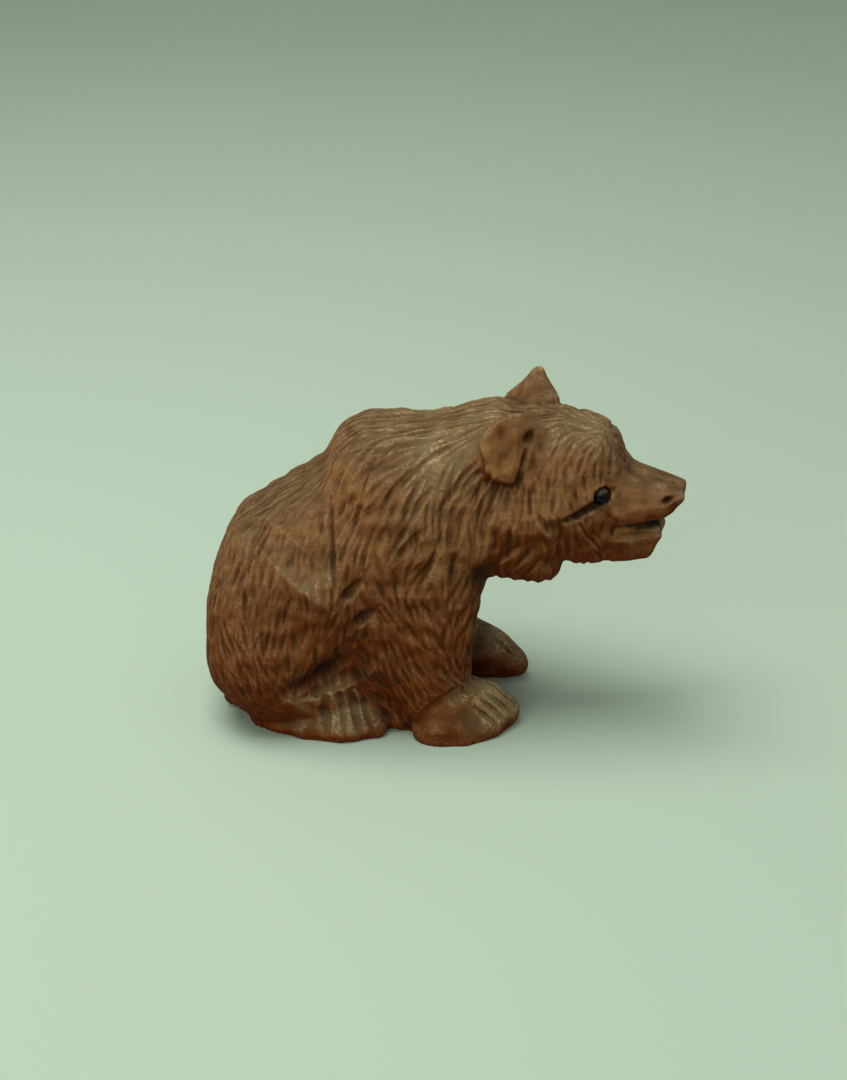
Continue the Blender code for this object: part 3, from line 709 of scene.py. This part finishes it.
def note_relief(mesh):
    """Stores how far each point stands above or below the skin around it, near and wide."""
    places = vertex_places(mesh) / UNIT
    normals = vertex_normals(mesh)
    edges = np.empty(len(mesh.edges) * 2, int)
    mesh.edges.foreach_get("vertices", edges)
    edges = edges.reshape(-1, 2)
    counts = np.maximum(np.bincount(edges.ravel(), minlength=len(places)), 1)
    evened = places
    for name, passes in EVENING.items():
        for _ in range(passes):
            evened = (evened + neighbour_mean(evened, edges, counts)) / 2
        keep(mesh, name, ((places - evened) * normals).sum(1))


def gathered(places, spots):
    """How much of what lies in the spots lies at each place, softly out to their radius."""
    share = np.zeros(len(places))
    for x, y, z, radius, amount in spots:
        distance = np.linalg.norm(places - (x, y, z), axis=1)
        share = np.maximum(share, amount * np.exp(-2 * (distance / radius) ** 3))
    return share


def how_open(mesh, places, normals):
    """How open to the light each place is, from rays sent out at places picked over the whole skin."""
    rng = np.random.default_rng(SEED)
    chosen = rng.choice(len(places), OPEN_PLACES, replace=False)
    bm = bmesh.new()
    bm.from_mesh(mesh)
    walls = BVHTree.FromBMesh(bm)
    bm.free()
    aims = rng.normal(size=(OPEN_RAYS, 3))
    aims /= np.linalg.norm(aims, axis=1)[:, None]
    tree = KDTree(len(chosen))
    shares = np.zeros(len(chosen))
    for row, i in enumerate(chosen):
        tree.insert(places[i], row)
        facing = aims @ normals[i]
        start = Vector((places[i] + normals[i] * RAY_LIFT) * UNIT)
        rays = [Vector(aim) for aim in aims[facing > RAY_SLOPE]]
        clear = [walls.ray_cast(start, ray, RAY_LENGTH)[0] is None for ray in rays]
        shares[row] = sum(clear) / max(len(clear), 1)
    tree.balance()
    nearest = ([j for _, j, _ in tree.find_n(place, OPEN_NEIGHBOURS)] for place in places)
    return np.array([np.mean([shares[j] for j in rows]) for rows in nearest])


def note_dust_light_and_shade(mesh):
    """Stores where dust and painted light lie, where painted shadow falls, and how open to the light each
    place is, which sets painted shade.
    """
    places = vertex_places(mesh) / UNIT
    keep(mesh, "dust_and_light", gathered(places, both_sides(BODY_DUST_AND_LIGHT, HEAD_DUST_AND_LIGHT)))
    keep(mesh, "painted_shadow", gathered(places, both_sides(BODY_SHADOW_SPOTS, HEAD_SHADOW_SPOTS)))
    keep(mesh, "openness", how_open(mesh, places, vertex_normals(mesh)))


def carved_bear():
    """The whole animal in one skin: its forms, its broad strokes, its named cuts and its fine strokes."""
    bear = bpy.data.objects.new("carved_bear", roughed_out())
    bpy.context.scene.collection.objects.link(bear)
    fuse(bear)
    skin = Skin(bear.data)
    carve_fur(skin, BROAD_COAT, SEED)
    carve_details(skin)
    carve_fur(skin, FINE_COAT, SEED + 1)
    skin.pare()
    skin.finish()
    sink_sockets(bear.data)
    cut_flat(bear)
    thin = bear.modifiers.new("Thin out", "DECIMATE")
    bear.data.calc_loop_triangles()
    thin.ratio = min(1, TRIANGLES / len(bear.data.loop_triangles))
    apply_modifiers(bear)
    fit_in_solid(bear.data)
    bear.data.shade_smooth()
    note_relief(bear.data)
    note_dust_light_and_shade(bear.data)
    bear.data.materials.append(stained_wood_with_painted_light())
    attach(bear, "root")
    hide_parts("bear")


def bead_eyes():
    """A round bead in each socket."""
    glass = black_bead()
    around, upwards = BEAD_FACES
    radius = EYE_DIAMETER / 2
    for name, side in (("left", 1), ("right", -1)):
        bm = bmesh.new()
        centre = Matrix.Translation(eye_centre(side) * UNIT)
        bmesh.ops.create_uvsphere(bm, u_segments=around, v_segments=upwards, radius=radius, matrix=centre)
        bead = bpy.data.objects.new("bead_eye_" + name, mesh_from(bm, "bead_eye_" + name))
        bead.data.shade_smooth()
        bead.data.materials.append(glass)
        bpy.context.scene.collection.objects.link(bead)
        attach(bead, "root")
        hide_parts("eye_" + name)


class Wire:
    """A shader socket that takes part in Python arithmetic."""

    def __init__(self, tree, socket):
        self.tree = tree
        self.socket = socket

    def add(self, kind, settings, inputs, output=0):
        """Adds a node with its settings and its inputs, and gives the wire that leaves it."""
        node = self.tree.nodes.new(kind)
        for name, value in settings.items():
            setattr(node, name, value)
        for name, value in inputs.items():
            if isinstance(value, Wire):
                self.tree.links.new(value.socket, node.inputs[name])
            else:
                node.inputs[name].default_value = value
        return Wire(self.tree, node.outputs[output])

    def maths(self, operation, a, b=0.0):
        return self.add("ShaderNodeMath", {"operation": operation}, {0: a, 1: b})

    def __add__(self, other):
        return self.maths("ADD", self, other)

    def __radd__(self, other):
        return self.maths("ADD", other, self)

    def __sub__(self, other):
        return self.maths("SUBTRACT", self, other)

    def __rsub__(self, other):
        return self.maths("SUBTRACT", other, self)

    def __mul__(self, other):
        return self.maths("MULTIPLY", self, other)

    def __rmul__(self, other):
        return self.maths("MULTIPLY", other, self)

    def fade(self, start, end):
        """0 up to start and 1 past end; start may be the larger."""
        inputs = {"Value": self, "From Min": start, "From Max": end}
        return self.add("ShaderNodeMapRange", {"interpolation_type": "SMOOTHSTEP"}, inputs)

    def mix(self, first, second):
        """The first colour where this is 0, and the second where it is 1."""
        settings = {"data_type": "RGBA"}
        return self.add("ShaderNodeMix", settings, {0: self, 6: first, 7: second}, 2)


def shade(colour):
    """A colour as the screen shows it, in 255ths, made linear for the shader."""
    parts = [c / 255 for c in colour]
    return (*(p / 12.92 if p <= 0.04045 else ((p + 0.055) / 1.055) ** 2.4 for p in parts), 1)


def new_material(name, roughness):
    """A material, its shader node, and a wire to start from."""
    material = bpy.data.materials.new(name)
    material.use_nodes = True
    tree = material.node_tree
    shader = tree.nodes["Principled BSDF"]
    shader.inputs["Roughness"].default_value = roughness
    return material, shader, Wire(tree, None)


def stained_wood_with_painted_light():
    """Old stain, darker and redder low down, greyed on top by pale dust and painted cool light, with painted
    shade underneath and in the hollows, dark in the cuts, and worn pale on the ridges.
    """
    material, shader, start = new_material("stained wood with painted light", 0.6)
    place = start.add("ShaderNodeTexCoord", {}, {}, "Object")
    height = start.add("ShaderNodeSeparateXYZ", {}, {0: place}, 2) * (1 / UNIT)
    normal = start.add("ShaderNodeNewGeometry", {}, {}, "Normal")
    facing_up = start.add("ShaderNodeSeparateXYZ", {}, {0: normal}, 2)

    def kept(name):
        return start.add("ShaderNodeAttribute", {"attribute_name": name}, {}, "Fac")

    def speckle(scale, detail, roughness=0.55):
        inputs = {"Vector": place, "Scale": scale, "Detail": detail, "Roughness": roughness}
        return start.add("ShaderNodeTexNoise", {}, inputs)

    fine, wide = kept("relief_fine"), kept("relief_wide")
    dust_and_light, shadow_spots, openness = kept("dust_and_light"), kept("painted_shadow"), kept("openness")
    clouds = speckle(45, 3)
    mottle = speckle(240, 5, 0.65)
    specks = speckle(1300, 3)
    stretched = start.add("ShaderNodeMapping", {}, {"Vector": place, "Scale": (0.14, 1, 1)})
    grain = start.add("ShaderNodeTexNoise", {}, {"Vector": stretched, "Scale": 420, "Detail": 4.0})

    # The sides pale upwards in clouds, the top is greyed by dust and painted cool light, and painted shade
    # makes the underside darker and redder.
    rise = (height + clouds * 24).fade(28, 76)
    plain_side = rise.mix(shade(LOW_SIDE), shade(HIGH_SIDE))
    side = (clouds.fade(0.42, 0.62) * rise * 0.6).mix(plain_side, shade(CLOUDED_SIDE))
    above = facing_up.fade(0.05, 0.85).mix(side, shade(TOP_DUST_AND_COOL_LIGHT))
    shaded_below = facing_up.fade(0.25, -0.3).mix(above, shade(SHADED_RED_UNDERSIDE))
    blotched = (mottle.fade(0.42, 0.66) * 0.4).mix(shaded_below, shade(BLOTCH))
    grained = (grain.fade(0.42, 0.62) * 0.3).mix(blotched, shade(GRAIN))

    # Painted shade darkens the hollows and the places where little light comes in, and the strokes are
    # darker.
    deep = ((0 - wide).fade(0.1, 1.1) * 0.65).mix(grained, shade(HOLLOW_SHADE))
    darker = ((0 - fine).fade(0.0, 0.12) * 0.65).mix(deep, shade(GROOVE))
    shaded = (openness.fade(0.75, 0.3) * 0.75).mix(darker, shade(SHUT_IN))

    # Dust lies on what faces up, with painted light in some spots, and the ridges between the strokes are
    # rubbed pale, painted lighter where they face up and darker where they face down.
    laid_dust_and_light = dust_and_light * facing_up.fade(-0.35, 0.5) * mottle.fade(0.3, 0.58)
    lightened = (laid_dust_and_light * 0.6).mix(shaded, shade(PALE_DUST_AND_LIGHT))
    ridge = fine.fade(0.01, 0.12) * specks.fade(0.35, 0.6)
    rubbed_lit_and_shaded = facing_up.fade(-0.3, 0.5).mix(shade(RUBBED_SHADED_SIDE), shade(RUBBED_LIT_TOP))
    worn_and_lit = (ridge * (0.26 + dust_and_light.fade(0, 1) * 0.42)).mix(lightened, rubbed_lit_and_shaded)

    # Painted shadow darkens the mouth, the eyes' tails and the creases, and painted shade makes the deepest
    # cuts nearly black.
    shadowed = (shadow_spots.fade(0, 1) * 0.9).mix(worn_and_lit, shade(PAINTED_SHADOW_TONE))
    colour = ((0 - wide).fade(0.9, 1.7) * 0.8).mix(shadowed, shade(PIT_SHADE))
    start.tree.links.new(colour.socket, shader.inputs["Base Color"])

    gloss = 0.66 - ridge * 0.12 + mottle * 0.1
    start.tree.links.new(gloss.socket, shader.inputs["Roughness"])
    relief = mottle * 0.6 + grain * 0.4 + specks * 0.3
    bump = start.add("ShaderNodeBump", {}, {"Height": relief, "Strength": 0.5, "Distance": 0.0003})
    start.tree.links.new(bump.socket, shader.inputs["Normal"])
    shader.inputs["Specular IOR Level"].default_value = 0.05
    return material


def black_bead():
    """A round black bead with a soft shine, and a patchy painted highlight on top."""
    material, shader, start = new_material("black bead", 0.12)
    place = start.add("ShaderNodeTexCoord", {}, {}, "Object")
    smear = start.add("ShaderNodeTexNoise", {}, {"Vector": place, "Scale": 900, "Detail": 3.0})
    normal = start.add("ShaderNodeNewGeometry", {}, {}, "Normal")
    facing_up = start.add("ShaderNodeSeparateXYZ", {}, {0: normal}, 2)
    patches = smear.fade(0.4, 0.7)
    # A painted highlight lightens the top, in patches
    lightened = facing_up.fade(0.1, 0.75) * (0.45 + patches * 0.5)
    colour = lightened.mix(shade(BEAD_BLACK), shade(BEAD_HIGHLIGHT))
    start.tree.links.new(colour.socket, shader.inputs["Base Color"])
    gloss = 0.12 + patches * 0.16
    start.tree.links.new(gloss.socket, shader.inputs["Roughness"])
    shader.inputs["Specular IOR Level"].default_value = 0.1
    return material


def pale_floor():
    bm = bmesh.new()
    bmesh.ops.create_grid(bm, x_segments=1, y_segments=1, size=FLOOR_SIZE)
    floor = bpy.data.objects.new("floor", mesh_from(bm, "floor"))
    bpy.context.scene.collection.objects.link(floor)
    material, shader, _ = new_material("pale floor", 0.9)
    shader.inputs["Base Color"].default_value = shade(FLOOR_GREEN)
    floor.data.materials.append(material)


def soft_light(name, place, size, power, colour):
    """A square lamp that points at the bear."""
    light = bpy.data.lights.new(name, "AREA")
    light.shape = "SQUARE"
    light.size = size
    light.energy = power
    light.color = colour
    lamp = bpy.data.objects.new(name, light)
    lamp.location = place
    lamp.rotation_euler = (Vector(place) - CAMERA_TARGET).to_track_quat("Z", "Y").to_euler()
    bpy.context.scene.collection.objects.link(lamp)


def studio():
    """The floor, the soft light from all round and the lamps."""
    pale_floor()
    world = bpy.data.worlds.new("studio")
    world.use_nodes = True
    background = world.node_tree.nodes["Background"]
    background.inputs["Color"].default_value = SKY
    background.inputs["Strength"].default_value = SKY_STRENGTH
    bpy.context.scene.world = world
    for lamp in LAMPS:
        soft_light(*lamp)


def camera():
    """The photograph's view, level across and looking down from the bear's right side."""
    back = Vector((0, -math.cos(CAMERA_RISE), math.sin(CAMERA_RISE)))
    lens = bpy.data.cameras.new("camera")
    lens.lens = FOCAL_LENGTH
    lens.sensor_width = SENSOR
    view = bpy.data.objects.new("camera", lens)
    view.location = CAMERA_TARGET + back * CAMERA_DISTANCE
    view.rotation_euler = back.to_track_quat("Z", "Y").to_euler()
    bpy.context.scene.collection.objects.link(view)
    bpy.context.scene.camera = view


bpy.context.scene.view_settings.view_transform = "Standard"
camera()
studio()
carved_bear()
bead_eyes()
